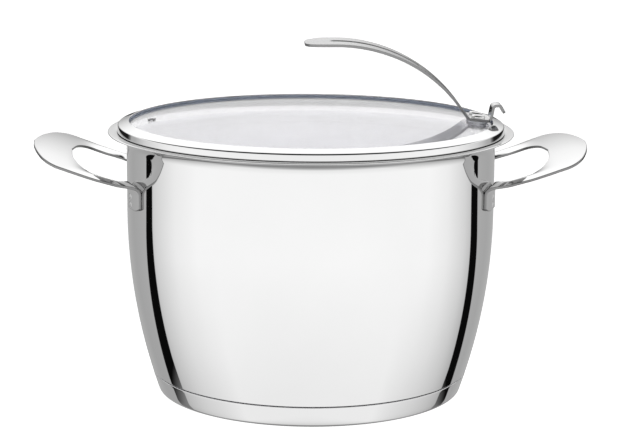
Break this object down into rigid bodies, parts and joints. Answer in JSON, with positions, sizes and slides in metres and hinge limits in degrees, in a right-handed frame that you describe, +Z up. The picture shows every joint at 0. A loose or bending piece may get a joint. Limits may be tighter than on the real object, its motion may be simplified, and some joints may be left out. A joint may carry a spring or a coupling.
{
  "type": "stock pot with glass lid",
  "caption": "Polished steel soup pot with a barrel-shaped wall, flared pouring rim, loop side handles and a glass lid whose bent strap handle has a hook for hanging the lid.",
  "frame": {"origin": "centre of the base underside, on the surface the pot stands on", "axes": "+Z up along the pot's axis, X through both side handles with the lid handle's foot on +X, Y across"},
  "size_m": [0.3632, 0.2662, 0.2322],
  "materials": {
    "polished_steel": "mirror polished stainless steel",
    "satin_steel": "satin stainless steel of the lid strap and its fasteners",
    "aluminium_core": "bare",
    "clear_glass": "tempered, clear",
    "grey_silicone": "matt"
  },
  "bodies": {
    "pot": {"pot_body": "polished_steel", "base_cap": "polished_steel", "heat_spreader": "aluminium_core", "side_handle_left": "polished_steel", "side_handle_right": "polished_steel"},
    "lid": {"lid_rim": "polished_steel", "lid_glass": "clear_glass", "lid_seal": "grey_silicone", "vent_eyelet": "satin_steel", "lid_handle": "satin_steel", "lid_screws": "satin_steel", "upper_gaskets": "grey_silicone", "lower_gaskets": "grey_silicone", "lid_washers": "satin_steel", "lid_nuts": "satin_steel"}
  },
  "joints": [
    {"name": "lid_lift", "type": "slide", "parent": "pot", "child": "lid", "axis": [0, 0, 1], "range_m": [0, 0.15]}
  ]
}
